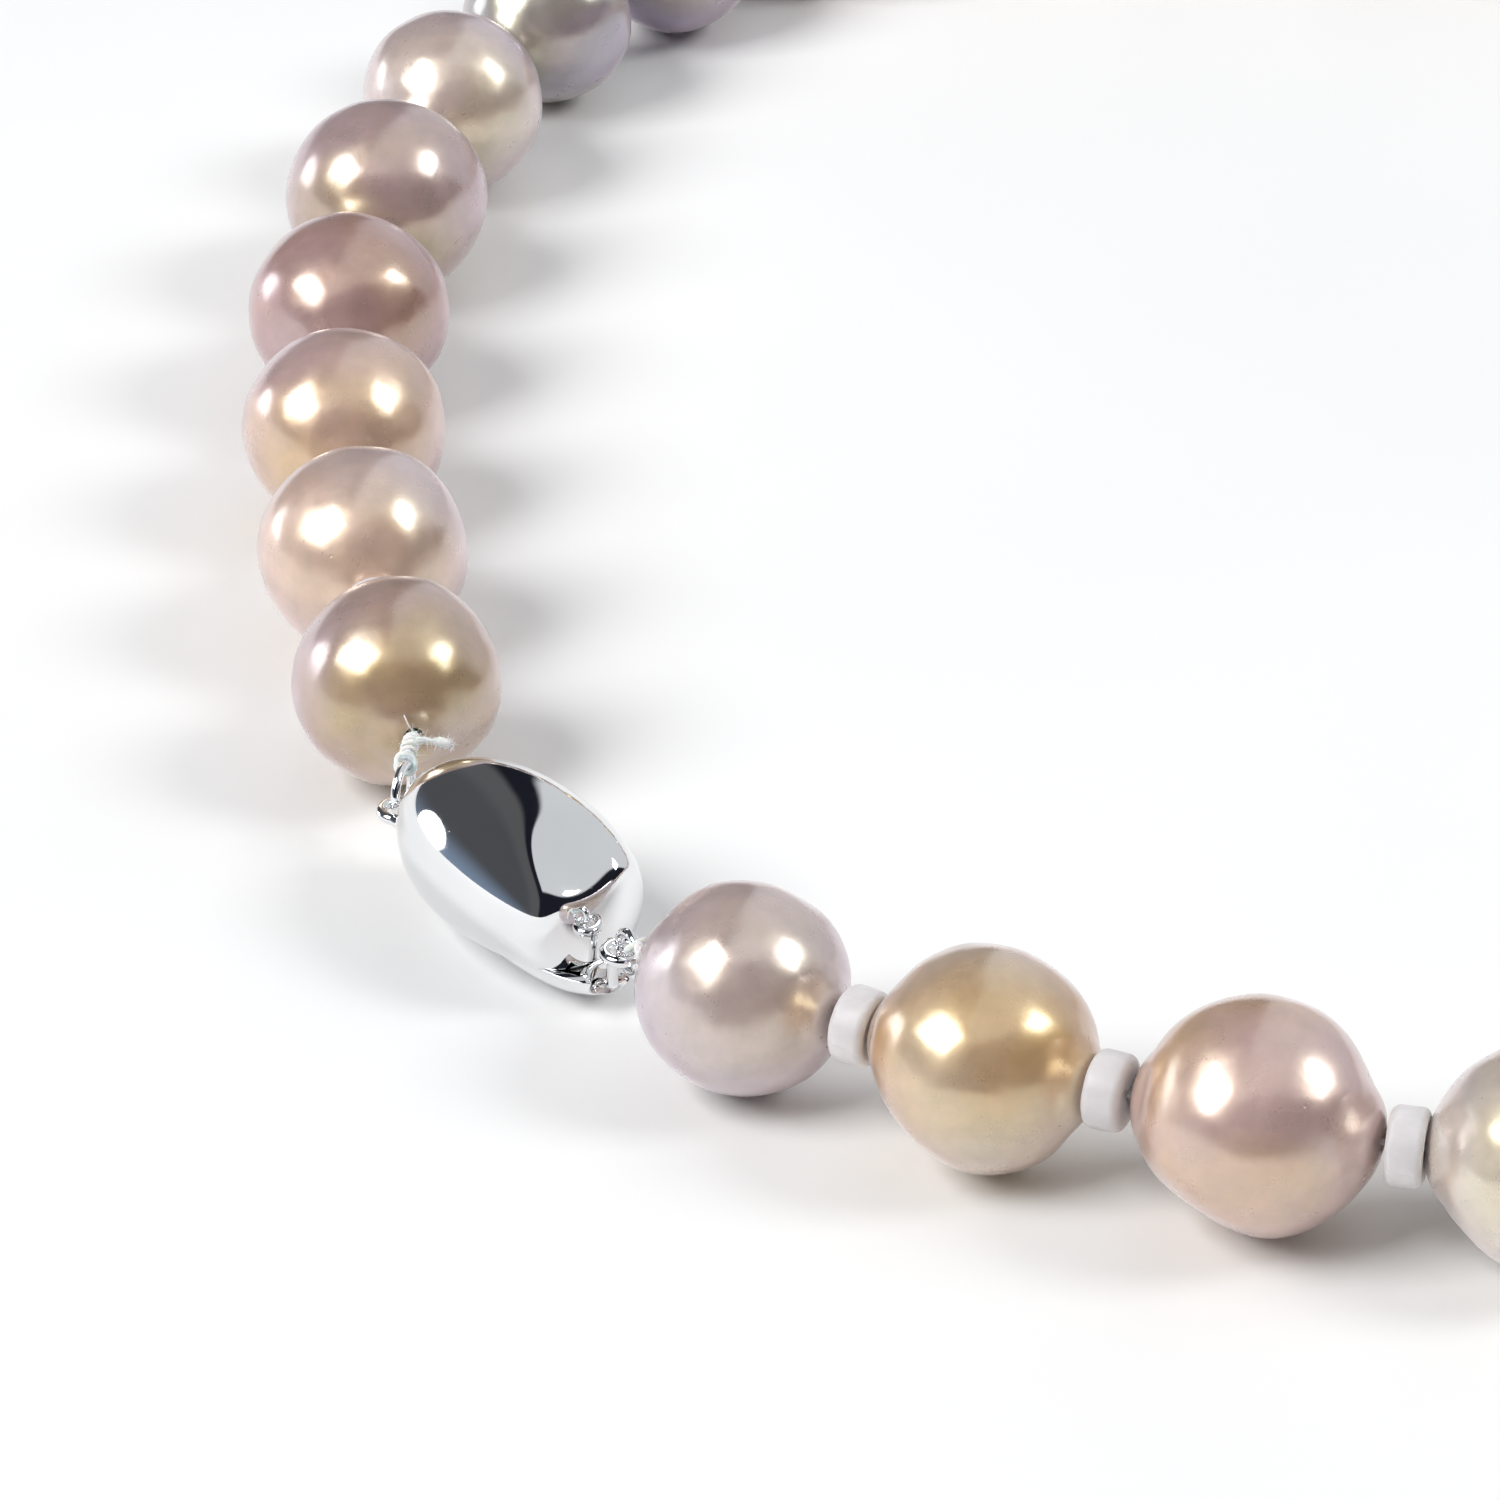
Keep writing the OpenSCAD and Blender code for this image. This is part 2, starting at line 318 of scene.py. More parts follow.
NACRE = {
    "taupe": pearl_material("taupe", (0.48, 0.32, 0.23), (0.50, 0.34, 0.20), (0.48, 0.34, 0.32)),
    "blush": pearl_material("blush", (0.68, 0.49, 0.42), (0.68, 0.48, 0.36), (0.62, 0.48, 0.45)),
    "peach": pearl_material("peach", (0.62, 0.42, 0.32), (0.62, 0.42, 0.26), (0.58, 0.40, 0.38)),
    "mauve": pearl_material("mauve", (0.47, 0.28, 0.25), (0.47, 0.28, 0.22), (0.48, 0.31, 0.32)),
    "champagne": pearl_material("champagne", (0.47, 0.33, 0.26), (0.48, 0.34, 0.23), (0.51, 0.36, 0.36)),
    "cream": pearl_material("cream", (0.62, 0.49, 0.44), (0.62, 0.50, 0.40), (0.60, 0.48, 0.48)),
    "lavender": pearl_material("lavender", (0.38, 0.30, 0.35), (0.36, 0.31, 0.27), (0.32, 0.34, 0.29)),
    "plum": pearl_material("plum", (0.33, 0.24, 0.27), (0.35, 0.25, 0.25), (0.34, 0.25, 0.33)),
    "rose": pearl_material("rose", (0.57, 0.45, 0.44), (0.57, 0.44, 0.39), (0.52, 0.43, 0.45)),
    "gold": pearl_material("gold", (0.60, 0.41, 0.25), (0.55, 0.33, 0.15), (0.62, 0.48, 0.36)),
    "ivory": pearl_material("ivory", (0.68, 0.58, 0.49), (0.68, 0.57, 0.44), (0.64, 0.57, 0.54)),
}
# The nacre of pearls 1 to 31, chosen as a strand is sorted: soft neighbours, no repeats
NACRE_ORDER = (
    "taupe blush peach mauve champagne cream lavender plum "
    "rose gold blush taupe ivory mauve peach cream "
    "lavender champagne rose gold plum blush taupe cream mauve "
    "champagne rose ivory peach gold rose").split()


def silicone_material():
    m = Material(
        "silicone", Roughness=0.42, IOR=1.41, Subsurface_Weight=0.8, Subsurface_Scale=1.5 * MM,
        Transmission_Weight=0.18, Coat_Weight=0.1, Coat_Roughness=0.3)
    m.shader.inputs["Subsurface Radius"].default_value = (1.0, 0.95, 0.95)
    m.feed("Base Color", m.ramp(m.noise(1.4, 3), (0.3, (0.74, 0.71, 0.73)), (0.7, (0.84, 0.82, 0.83))))
    m.feed("Roughness", m.ramp(m.noise(0.5, 3), (0.3, 0.36), (0.7, 0.5)))
    m.bump(m.noise(0.25, 4, 0.6), 0.012, 0.5)
    m.bump(m.noise(1.6, 2), 0.05, 0.4)
    return m.material


def silver_material():
    m = Material("silver", Metallic=1.0, Roughness=0.05)
    m.feed("Base Color", m.ramp(m.noise(5, 2), (0.3, (0.83, 0.84, 0.85)), (0.7, (0.88, 0.885, 0.89))))
    m.feed("Roughness", m.ramp(m.noise(0.8, 5, 0.65), (0.35, 0.035), (0.75, 0.085)))
    m.bump(m.noise(3.2, 2, 0.4), 0.02, 0.35)
    m.bump(m.ramp(m.cells(0.9), (0.0, 0.0), (0.05, 1.0)), 0.004, 0.4)
    return m.material


def wire_material():
    m = Material("polished_wire", Metallic=1.0, Roughness=0.08)
    m.feed("Base Color", m.ramp(m.noise(2, 2), (0.3, (0.84, 0.845, 0.86)), (0.7, (0.9, 0.9, 0.91))))
    m.feed("Roughness", m.ramp(m.noise(0.3, 4), (0.3, 0.05), (0.7, 0.14)))
    m.bump(m.noise(0.5, 3), 0.006, 0.4)
    return m.material


def plate_material():
    m = Material("brushed_plate", Metallic=1.0, Roughness=0.3)
    grain = m.noise(0.25, 4, 0.6, stretch=(0.12, 1, 1))
    m.feed("Base Color", m.ramp(grain, (0.3, (0.56, 0.57, 0.58)), (0.7, (0.68, 0.68, 0.69))))
    m.feed("Roughness", m.ramp(grain, (0.3, 0.24), (0.7, 0.38)))
    m.bump(grain, 0.004, 0.5)
    return m.material


def magnet_material():
    m = Material("nickel_plate", Metallic=1.0, Roughness=0.25)
    m.feed("Base Color", m.ramp(m.noise(1.2, 4), (0.3, (0.42, 0.41, 0.39)), (0.7, (0.52, 0.51, 0.48))))
    m.bump(m.noise(0.3, 3), 0.004, 0.4)
    return m.material


def thread_material():
    m = Material("silk_thread", Roughness=0.8, Sheen_Weight=0.4, Subsurface_Weight=0.3,
                 Subsurface_Scale=0.2 * MM)
    m.feed("Base Color", m.ramp(m.noise(0.15, 4), (0.3, (0.78, 0.77, 0.74)), (0.7, (0.93, 0.92, 0.9))))
    m.bump(m.noise(0.06, 3, 0.6), 0.02, 0.6)
    return m.material


SILICONE = silicone_material()
SILVER = silver_material()
WIRE = wire_material()
PLATE = plate_material()
MAGNET = magnet_material()
THREAD = thread_material()

# ---- pearls ----

BORE_RADIUS = 0.5
MOUTH_ROUND = 0.12
# Pearls with flats: each flat's direction, depth in millimetres, and half-width in degrees
FLATS = {
    29: [((-0.55, -0.35, -0.75), 0.55, 52), ((0.9, 0.2, 0.3), 0.2, 40)],
    30: [((-0.75, -0.2, -0.65), 0.5, 50), ((0.8, -0.1, -0.55), 0.35, 40)],
    31: [((-0.5, -0.3, -0.7), 0.15, 40)],
    1: [((0.3, -0.6, -0.7), 0.25, 45)],
    28: [((-0.7, -0.2, -0.6), 0.35, 45)],
}
# Growth rings, as (pearl, direction of their middle, how many, depth in millimetres)
RINGS = {
    1: ((0.86, -0.35, 0.35), 3, 0.10),
    28: ((-0.6, -0.4, 0.7), 3, 0.04),
    12: ((0.2, 0.3, 0.9), 3, 0.08),
    21: ((0.4, -0.5, 0.7), 2, 0.08),
}


def smooth_step(x):
    x = min(max(x, 0.0), 1.0)
    return x * x * (3 - 2 * x)


def pearl_dip(k, way, direction):
    """How far the surface lies under the true sphere in a direction, in millimetres."""
    seed = Vector((7.3 * k, 1.7 * k, 3.1 * k))
    swell = 0.5 + 0.5 * noise.noise(1.15 * direction + seed)
    waves = 0.5 + 0.5 * noise.noise(3.4 * direction + seed)
    ripples = 0.5 + 0.5 * noise.noise(9.0 * direction + seed)
    dip = 0.42 * swell + 0.10 * waves + 0.016 * ripples
    for towards, depth, width in FLATS.get(k, ()):
        away = direction.angle(Vector(towards).normalized())
        dip += depth * smooth_step(1 - away / math.radians(width))
    if k in RINGS:
        towards, count, depth = RINGS[k]
        middle = Vector(towards).normalized()
        near = smooth_step(1 - direction.angle(middle) / 0.75)
        across = direction.z + 0.10 * math.sin(5 * direction.dot(way))
        dip += near * depth * (0.5 + 0.5 * math.cos(14 * count / 3 * across))
    # The surface is true at the bore, where the silicone ring sits
    to_bore = abs(direction.dot(way))
    return dip * smooth_step((1 - to_bore) / 0.12)


def pearl(k, columns=112, rows=72):
    way = bore_way(k)
    first, second = side_axes(way)
    radius = pearl_radius(k)
    mouth = math.asin((BORE_RADIUS + MOUTH_ROUND) / radius)
    points = []
    for i in range(rows):
        tilt = mouth + (math.pi - 2 * mouth) * i / (rows - 1)
        for j in range(columns):
            turn = 2 * math.pi * j / columns
            ring = math.cos(turn) * first + math.sin(turn) * second
            direction = -math.cos(tilt) * way + math.sin(tilt) * ring
            points.append(centre[k] + (radius - pearl_dip(k, way, direction)) * direction)
    # The bore: a rounded mouth and a straight wall, from the far end back to the near one
    mouth_at = radius * math.cos(mouth)
    for along in (mouth_at - MOUTH_ROUND * 0.3, mouth_at - MOUTH_ROUND, 0, MOUTH_ROUND - mouth_at,
                  MOUTH_ROUND * 0.3 - mouth_at):
        in_mouth = abs(along) >= mouth_at - MOUTH_ROUND * 0.5
        inner = BORE_RADIUS + MOUTH_ROUND * 0.35 if in_mouth else BORE_RADIUS
        for j in range(columns):
            turn = 2 * math.pi * j / columns
            ring = math.cos(turn) * first + math.sin(turn) * second
            points.append(centre[k] + along * way + inner * ring)
    faces = [face[::-1] for face in grid_faces(rows + 5, columns, close_rows=True)]
    node = f"pearl_{k:02d}"
    mesh_piece(f"nacre_{k:02d}", points, faces, NACRE[NACRE_ORDER[k - 1]], node,
               [node])


for k in range(1, PEARLS + 1):
    pearl(k)

# ---- silicone rings ----

RING_RADIUS = 2.0
RING_BORE = 0.4
# From the middle of a gap to a ring's face: snug to its own pearl, free of the next one
SNUG_FACE = 0.93
FREE_FACE = 0.76
CORNER = 0.42


def silicone_ring(k):
    """The ring in the gap between pearl k and the next: it rides on the even one of the two."""
    way = (bore_way(k) + bore_way(k + 1)).normalized()
    own = k + 1 if k % 2 else k
    if own == k:
        way = -way
    cup = 0.9 / (2 * pearl_radius(own))
    profile = [(-FREE_FACE, RING_BORE)]
    for i in range(13):
        a = math.pi / 2 * i / 12
        profile.append((-FREE_FACE + CORNER * (1 - math.cos(a)),
                        RING_RADIUS - CORNER + CORNER * math.sin(a)))
    outer_face = SNUG_FACE + cup * (RING_RADIUS - CORNER) ** 2
    for i in range(13):
        a = math.pi / 2 * i / 12
        profile.append((outer_face - CORNER * (1 - math.sin(a)),
                        RING_RADIUS - CORNER + CORNER * math.cos(a)))
    for radius in (1.3, 1.0, 0.7, RING_BORE):
        profile.append((SNUG_FACE + cup * radius ** 2, radius))
    points, faces = revolve(profile, gap[k], way, 64, closed=True)
    seed = Vector((2.3 * k, 5.1, 0.7 * k))
    for i, p in enumerate(points):
        out = p - gap[k]
        out -= out.dot(way) * way
        if out.length > 1.5:
            points[i] = p - 0.06 * (0.5 + 0.5 * noise.noise(1.3 * p + seed)) * out.normalized()
    if own == k:
        faces = [face[::-1] for face in faces]
    return points, faces


for k in range(2, PEARLS, 2):
    pair = Mesh()
    pair.add(*silicone_ring(k - 1))
    pair.add(*silicone_ring(k))
    mesh_piece(f"silicone_rings_{k:02d}", pair.points, pair.faces, SILICONE, f"pearl_{k:02d}",
               [f"spacers_{k:02d}"])

# ---- thread ----

THREAD_RADIUS = 0.2


def line(start, end, steps):
    return [start.lerp(end, i / steps) for i in range(steps + 1)]


for k in range(1, PEARLS + 1):
    way = bore_way(k)
    inside = pearl_radius(k) - 1.0
    start = gap[k - 1] if k > 1 else centre[k] - inside * way
    end = gap[k] if k < PEARLS else centre[k] + inside * way
    points, faces = rope(line(start, end, 40), THREAD_RADIUS * 0.9)
    mesh_piece(f"bore_thread_{k:02d}", points, faces, THREAD, f"pearl_{k:02d}")


def torus(mesh, at, way_in, way_up, radius, wire, opening=0.0, columns=20, rows=120):
    """A ring of round wire in the plane of two directions, with a closed split."""
    points = []
    normal = way_in.cross(way_up).normalized()
    for i in range(rows):
        turn = opening / 2 + (2 * math.pi - opening) * i / (rows - (1 if opening else 0))
        out = math.cos(turn) * way_in + math.sin(turn) * way_up
        for j in range(columns):
            a = 2 * math.pi * j / columns
            points.append(at + (radius + wire * math.cos(a)) * out + wire * math.sin(a) * normal)
    faces = grid_faces(rows, columns, close_rows=not opening)
    if opening:
        faces.append(tuple(reversed(range(columns))))
        faces.append(tuple(range((rows - 1) * columns, rows * columns)))
    mesh.add(points, faces)


def fuzz(mesh, at, count, reach, seed, radius=0.016):
    """Loose fibres that stand out from a knot."""
    chance = np.random.default_rng(seed)
    for _ in range(count):
        way = Vector(chance.normal(size=3)).normalized()
        bend = Vector(chance.normal(size=3)) * 0.35
        size = reach * chance.uniform(0.6, 1.15)
        path = [at + size * t * way + size * t * t * bend for t in (0.25, 0.45, 0.65, 0.85, 1.0)]
        mesh.add(*rope(path, radius, plies=2, columns=5, taper=0.6))


def tied_thread(side, tie, aim, bore, way, body):
    """Two turns of silk round the ring's wire and a tail into the pearl; returns the tail's ends."""
    lean = math.radians(50)
    out = math.cos(lean) * aim + math.sin(lean) * UP
    across = aim.cross(UP)
    silk = Mesh()
    torus(silk, tie, out, (across + 0.12 * aim).normalized(), 0.47, 0.16, columns=12, rows=48)
    torus(silk, tie + 0.06 * UP, out, (across - 0.3 * UP).normalized(), 0.49, 0.15, columns=12, rows=48)
    start = tie + 0.55 * out
    turn = bore - 0.35 * way
    path = line(start, turn, 12) + line(turn, bore + 1.2 * way, 12)[1:]
    silk.add(*rope(path, THREAD_RADIUS, pitch=1.1))
    mesh_piece(f"{side}_tied_thread", silk.points, silk.faces, THREAD, body,
               [f"{side}_thread"])
    return start, turn


def left_silk_knot(start, turn, bore, way):
    """A column of wound silk up to the bore, with a frayed end that lies beside it."""
    knot = Mesh()
    foot = start - 0.35 * UP
    head = bore - 0.1 * way + 0.15 * UP
    column = [foot.lerp(head, i / 40) + 0.22 * math.sin(math.pi * i / 40) * UP for i in range(41)]
    knot.add(*rope(column, 0.36, plies=2, pitch=0.75, columns=24,
                   swell=lambda s: 0.72 + 0.28 * math.sin(math.pi * s) + 0.12 * math.sin(14 * s)))
    # One strand winds round the column
    wind = []
    for i in range(161):
        s = 0.08 + 0.8 * i / 160
        at = foot.lerp(head, s) + 0.22 * math.sin(math.pi * s) * UP
        along = (head - foot).normalized()
        first, second = side_axes(along)
        turn_by = 2 * math.pi * 4.5 * i / 160
        wind.append(at + 0.36 * (math.cos(turn_by) * first + math.sin(turn_by) * second))
    knot.add(*rope(wind, 0.13, pitch=0.5, columns=10))
    middle = foot.lerp(head, 0.55) + 0.25 * UP
    side = Vector((1, 0, 0))
    end = [middle + a * side + b * UP + c * way for a, b, c in (
        (0.1, 0.0, 0), (0.45, 0.12, 0.05), (0.8, 0.14, 0.1), (1.15, 0.05, 0.1), (1.5, 0.02, 0.1),
        (1.85, -0.1, 0.12), (2.1, -0.2, 0.12))]
    knot.add(*rope(end, 0.26, plies=3, pitch=0.7, columns=18,
                   swell=lambda s: 0.8 + 0.35 * math.sin(9 * s + 1)))
    for i, p in enumerate(end[1:]):
        fuzz(knot, p, 34, 0.42, 40 + i)
    for i in range(0, 41, 5):
        fuzz(knot, column[i], 16, 0.55, 70 + i)
    loose = [head + 0.2 * UP, head + Vector((-0.3, 0.0, 0.75)), head + Vector((-0.5, 0.05, 1.25))]
    knot.add(*rope(loose, 0.07, pitch=0.4, columns=8, taper=0.5))
    mesh_piece("left_silk_knot", knot.points, knot.faces, THREAD, "pearl_01", ["left_knot"])


def right_silk_knot(start, turn, way):
    """A small wound knot, with a cut end that hangs in front of pearl 31."""
    knot = Mesh()
    foot = start - 0.2 * UP
    column = [foot.lerp(turn, i / 30) + 0.1 * math.sin(math.pi * i / 30) * UP for i in range(31)]
    knot.add(*rope(column, 0.3, plies=2, pitch=0.7, columns=20,
                   swell=lambda s: 0.7 + 0.35 * math.sin(math.pi * s) + 0.1 * math.sin(13 * s)))
    middle = foot.lerp(turn, 0.35)
    camera_side = Vector((0, -1, 0))
    hang = [middle + a * way + b * camera_side + c * UP for a, b, c in (
        (0.0, 0.1, 0.1), (0.0, 0.5, -0.1), (0.08, 0.75, -0.6), (0.16, 0.85, -1.1), (0.25, 0.9, -1.6),
        (0.3, 0.95, -2.0))]
    knot.add(*rope(hang, 0.22, plies=2, pitch=0.6, columns=14, taper=0.25))
    fuzz(knot, hang[-1], 24, 0.35, 91, radius=0.012)
    for i in range(0, 31, 6):
        fuzz(knot, column[i], 12, 0.4, 23 + i)
    mesh_piece("right_silk_knot", knot.points, knot.faces, THREAD, "pearl_31",
               ["right_knot"])


left_bore = centre[1] - pearl_radius(1) * bore_way(1)
right_bore = centre[PEARLS] + pearl_radius(PEARLS) * bore_way(PEARLS)
left_aim = level(left_tie - left_eye)
right_aim = level(right_tie - right_eye)
start, turn = tied_thread("left", left_tie, left_aim, left_bore, bore_way(1), "pearl_01")
left_silk_knot(start, turn, left_bore, bore_way(1))
start, turn = tied_thread("right", right_tie, right_aim, right_bore, -bore_way(PEARLS), "pearl_31")
right_silk_knot(start, turn, -bore_way(PEARLS))

# ---- jump rings and eyes ----


def jump_ring(side, aim, wire, turn, skew):
    """A ring of round wire that hangs a little askew, with its closed split at one side."""
    aim = Matrix.Rotation(math.radians(skew), 3, UP) @ aim
    low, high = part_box(f"{side}_jump_ring")
    radius = (high.z - low.z) / 2 / MM - wire
    ring = Mesh()
    split_in = math.cos(turn) * aim + math.sin(turn) * UP
    split_up = -math.sin(turn) * aim + math.cos(turn) * UP
    torus(ring, middle_of(f"{side}_jump_ring"), split_in, split_up, radius, wire, opening=0.03)
    mesh_piece(f"{side}_ring_wire", ring.points, ring.faces, WIRE, f"{side}_ring",
               [f"{side}_jump_ring"])


RING_WIRE = 0.25
jump_ring("left", left_aim, RING_WIRE, math.radians(250), -8)
jump_ring("right", right_aim, RING_WIRE, math.radians(200), 6)

EYE_RADIUS = 0.9
EYE_WIRE = 0.3
# The upper eye's two stems run into the shell; the lower eye's one post stands in the cup
STEM_START = 0.45
STEM_LENGTH = 1.3
STEM_SPREAD = 0.86
POST_FOOT_HEIGHT = 1.45
POST_WIRE = 0.26
FLARE = 0.12


def flared_foot(mesh, foot, top, wire, flare):
    """A straight stem that widens smoothly at its foot."""
    way = (top - foot).normalized()
    length = (top - foot).length
    profile = [(0, 0.01)]
    for i in range(13):
        t = i / 12
        profile.append((t * length, wire + flare * (1 - t) ** 4))
    profile.append((length, 0.01))
    mesh.add(*revolve(profile, foot, way, 32))


eye = Mesh()
torus(eye, left_eye, ALONG, ACROSS, EYE_RADIUS, EYE_WIRE)
for side in (-1, 1):
    stem = left_eye + STEM_START * ALONG + side * EYE_RADIUS * STEM_SPREAD * ACROSS
    flared_foot(eye, stem + STEM_LENGTH * ALONG, stem, EYE_WIRE * 0.95, FLARE)
mesh_piece("upper_wire_eye", eye.points, eye.faces, WIRE, "upper_half", ["upper_eye"])
eye = Mesh()
torus(eye, right_eye, -ALONG, ACROSS, EYE_RADIUS, EYE_WIRE)
post_top = right_eye - EYE_RADIUS * ALONG
post_foot = Vector((post_top.x, post_top.y, POST_FOOT_HEIGHT))
flared_foot(eye, post_foot, post_top, POST_WIRE, FLARE)
mesh_piece("lower_wire_eye", eye.points, eye.faces, WIRE, "lower_half", ["lower_eye"])

# ---- clasp shells ----

UPPER_BULGE = 2.1
UPPER_HALF_LENGTH = 8.7
UPPER_RADIUS = 4.7
LOWER_BULGE = 2.6
LOWER_MIDDLE = 1.2
LOWER_HALF_LENGTH = 7.6
LOWER_RADIUS = 3.3
UPPER_FLOOR = 2.58
LOWER_TOP = 2.5
WALL = 0.5


def pebble(u, v, z, middle, half_length, radius, bulge):
    """About how far points are outside a long rounded body that lies on the table."""
    across = np.sqrt(v ** 2 + (z - radius) ** 2)
    size = (np.abs((u - middle) / half_length) ** bulge + (across / radius) ** bulge) ** (1 / bulge)
    return (size - 1) * radius


def rounded_max(a, b, fillet):
    return (a + b + np.sqrt((a - b) ** 2 + fillet ** 2)) / 2


# The thumb trough: its radius, its lowest point on the cut-off end, and how steeply it climbs
TROUGH_RADIUS = 5.5
TROUGH_AT = (6.7, -1.3, 6.65)
TROUGH_SLOPE = math.radians(35)
# Where the upper half is cut off, and how far that end bows
END_U = 6.8
END_BOW = 0.05
# The cup in the lower half's end
CUP_U = 8.4
CUP_RADIUS = 1.6
CUP_FLOOR = 1.5
# How softly the cuts meet the body
TROUGH_EDGE = 0.45
END_EDGE = 0.5
CUP_EDGE = 0.12


def upper_form(u, v, z, inset):
    body = pebble(u, v, z, 0, UPPER_HALF_LENGTH, UPPER_RADIUS, UPPER_BULGE) + inset
    # Distance from the trough's own axis, which falls towards the cut-off end
    above_floor = ((z - TROUGH_AT[2]) * math.cos(TROUGH_SLOPE)
                   + (u - TROUGH_AT[0]) * math.sin(TROUGH_SLOPE)) - TROUGH_RADIUS
    trough = TROUGH_RADIUS + inset - np.sqrt((v - TROUGH_AT[1]) ** 2 + above_floor ** 2)
    body = rounded_max(body, trough, TROUGH_EDGE)
    # The end is cut off and bowed a little across
    end = u - (END_U - END_BOW * (v + 0.3) ** 2) + inset
    return rounded_max(body, end, END_EDGE)


def lower_form(u, v, z, inset):
    body = pebble(u, v, z, LOWER_MIDDLE, LOWER_HALF_LENGTH, LOWER_RADIUS, LOWER_BULGE) + inset
    cup = CUP_RADIUS + inset - np.sqrt((u - CUP_U) ** 2 + v ** 2)
    above_floor = -(CUP_FLOOR - inset - z)
    return rounded_max(body, np.minimum(cup, above_floor), CUP_EDGE)


def reach(form, inset, middle_u, floor, turn, tilt):
    """Distances from a point on the parting to a form's surface, by halving."""
    du, dv, dz = np.cos(tilt) * np.cos(turn), np.cos(tilt) * np.sin(turn), np.sin(tilt)
    far = np.full_like(du, 10.0)
    # A coarse walk inwards leaves far at the first place outside, then halving makes it exact
    for step in np.linspace(0.1, 10, 120)[::-1]:
        outside = form(middle_u + step * du, step * dv, floor + step * dz, inset) > 0
        far = np.where(outside, step, far)
    near = np.maximum(far - 0.1, 0)
    for _ in range(24):
        mid = (near + far) / 2
        outside = form(middle_u + mid * du, mid * dv, floor + mid * dz, inset) > 0
        far = np.where(outside, mid, far)
        near = np.where(outside, near, mid)
    return middle_u + far * du, far * dv, floor + far * dz


def shell_rings(form, inset, middle_u, floor, side, rows, columns):
    """Rings from the parting to the pole; side is 1 for above the parting and -1 for below."""
    turn = 2 * math.pi * np.arange(columns) / columns
    turn, tilt = np.meshgrid(turn, side * (math.pi / 2) * np.linspace(0, 0.995, rows))
    u, v, z = reach(form, inset, middle_u, floor, turn, tilt)
    points = np.array(clasp)
    for distance, way in ((u, ALONG), (v, ACROSS), (z, UP)):
        points = points + distance[..., None] * np.array(way)
    return points


def shell(name, form, middle_u, floor, side, body, node, rows=150, columns=320):
    """An open shell of one wall thickness: outer skin, a softened rim, and inner skin."""
    outer = shell_rings(form, 0.0, middle_u, floor, side, rows, columns)
    inner = shell_rings(form, WALL, middle_u, floor, side, rows // 3, columns)
    rim = 0.06
    lift = side * rim * np.array(UP)
    inward = inner[0] - outer[0]
    inward /= np.linalg.norm(inward, axis=1, keepdims=True)
    outer_edge = outer[0].copy()
    outer[0] = outer_edge + lift
    for i in range(1, rows):
        low = (outer[i, :, 2] - outer[0, :, 2]) * side < 0
        outer[i][low] = outer[0][low]
    points = [*outer[::-1].reshape(-1, 3), *(outer_edge + rim * inward),
              *(inner[0] - rim * inward), *inner.reshape(-1, 3)]
    faces = grid_faces(rows + 2 + rows // 3, columns)
    faces.append(tuple(range(columns))[::-1])
    last = (rows + 1 + rows // 3) * columns
    faces.append(tuple(range(last, last + columns)))
    if side < 0:
        faces = [face[::-1] for face in faces]
    mesh_piece(name, points, faces, SILVER, body, [node])


shell("upper_polished_shell", upper_form, 0.0, UPPER_FLOOR, 1, "upper_half", "upper_shell")
shell("lower_polished_shell", lower_form, LOWER_MIDDLE, LOWER_TOP, -1, "lower_half", "lower_shell")

for node, material in (("upper_cover_plate", PLATE), ("lower_cover_plate", PLATE),
                       ("upper_magnet", MAGNET), ("lower_magnet", MAGNET)):
    slots = frame["nodes"][node].data.materials
    slots.clear()
    slots.append(material)

# ---- floor and light ----


def floor():
    m = Material("pale_floor", Roughness=0.75, Specular_IOR_Level=0.2)
    m.feed("Base Color", m.ramp(m.noise(60, 2), (0.3, (0.90, 0.90, 0.90)), (0.7, (0.93, 0.93, 0.93))))
    mesh = bpy.data.meshes.new("floor")
    half = 4.0
    corners = [(-half, -half, 0), (half, -half, 0), (half, half, 0), (-half, half, 0)]
    mesh.from_pydata(corners, [], [(0, 1, 2, 3)])
    mesh.materials.append(m.material)
    piece = bpy.data.objects.new("floor", mesh)
    bpy.context.scene.collection.objects.link(piece)


floor()


def softbox(name, direction, distance, width, height, watts, shape="RECTANGLE", not_on=()):
    """A broad light that faces the clasp, in metres, and leaves out the pieces in not_on."""
    lamp = bpy.data.lights.new(name, "AREA")
    lamp.shape = shape
    lamp.size = width
    lamp.size_y = height
    lamp.energy = watts
    light = bpy.data.objects.new(name, lamp)
    way = Vector(direction).normalized()
    light.location = clasp * MM + distance * way
    light.rotation_euler = way.to_track_quat("Z", "Y").to_euler()
    light.visible_camera = False
    bpy.context.scene.collection.objects.link(light)
    if not_on:
        shaded = bpy.data.collections.new(f"{name}_not_on")
        light.light_linking.receiver_collection = shaded
        for piece in not_on:
            shaded.objects.link(bpy.data.objects[piece])
        for unlit in shaded.collection_objects:
            unlit.light_linking.link_state = "EXCLUDE"


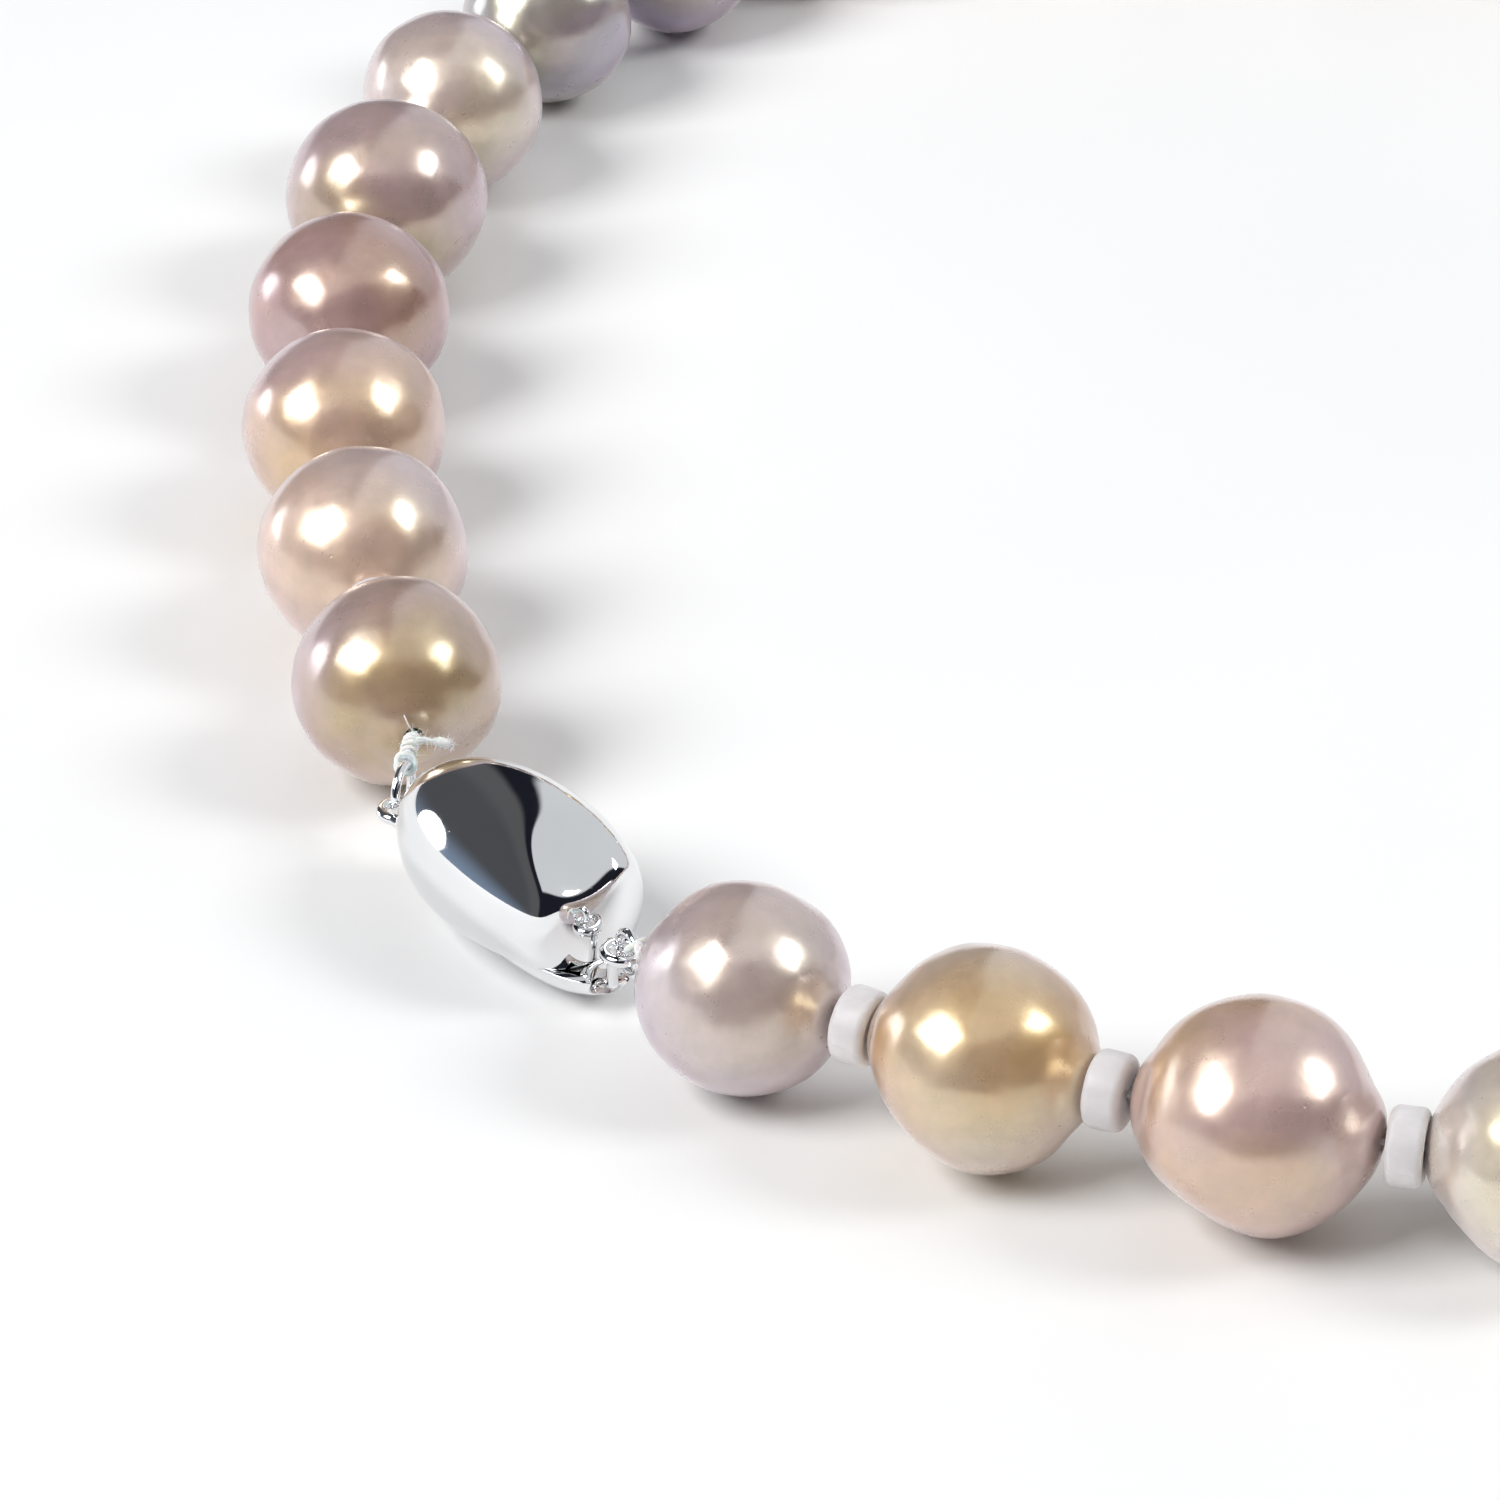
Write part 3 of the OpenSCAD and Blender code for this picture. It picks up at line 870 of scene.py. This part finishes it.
softbox("key_left", (-0.64, -0.29, 0.71), 1.5, 0.85, 0.85, 21, not_on=("upper_polished_shell",))
softbox("window_left", (-0.90, 0.40, 0.10), 1.6, 0.66, 0.66, 4.5, shape="ELLIPSE", not_on=("floor",))
softbox("fill_right", (0.74, -0.07, 0.67), 1.7, 0.55, 0.55, 9)


BRIGHT_SIDE = (0.66, 0.68, 0.70)
FAR_DIM_SIDE = (0.075, 0.078, 0.085)
DIM_SIDE = (0.10, 0.10, 0.105)
DARK_STRIP = (0.012, 0.013, 0.02)
COOL_GLOW = (0.20, 0.26, 0.36)
# Towards the bright side, square to the upright plane that splits the two
SIDE_PLANE = (1, -0.25, 0)


def studio_world():
    """A bright and a dim side, split by an upright plane, with a cool glow low on the left."""
    world = bpy.data.worlds.new("studio")
    bpy.context.scene.world = world
    world.use_nodes = True
    nodes, links = world.node_tree.nodes, world.node_tree.links
    way = nodes.new("ShaderNodeTexCoord").outputs["Generated"]

    def towards(direction, low, high):
        dot = nodes.new("ShaderNodeVectorMath")
        dot.operation = "DOT_PRODUCT"
        dot.inputs[1].default_value = direction
        links.new(way, dot.inputs[0])
        spread = nodes.new("ShaderNodeMapRange")
        spread.interpolation_type = "SMOOTHSTEP"
        spread.inputs["From Min"].default_value = low
        spread.inputs["From Max"].default_value = high
        links.new(dot.outputs["Value"], spread.inputs["Value"])
        return spread.outputs["Result"]

    def blend(amount, first, second):
        node = nodes.new("ShaderNodeMix")
        node.data_type = "RGBA"
        links.new(amount, node.inputs[0])
        for socket, value in ((node.inputs[6], first), (node.inputs[7], second)):
            if isinstance(value, tuple):
                socket.default_value = (*value, 1)
            else:
                links.new(value, socket)
        return node.outputs[2]

    dim = blend(towards(SIDE_PLANE, -0.62, -0.45), FAR_DIM_SIDE, DIM_SIDE)
    dim = blend(towards(SIDE_PLANE, -0.34, -0.26), dim, DARK_STRIP)
    dim = blend(towards((-1, 0.1, -0.9), 0.55, 1.0), dim, COOL_GLOW)
    bright = blend(towards((-0.3, 1, 0.8), 0.02, 0.14), dim, BRIGHT_SIDE)
    sky = blend(towards(SIDE_PLANE, -0.15, -0.10), dim, bright)
    links.new(sky, nodes["Background"].inputs["Color"])


studio_world()
bpy.context.scene.view_settings.view_transform = "Standard"
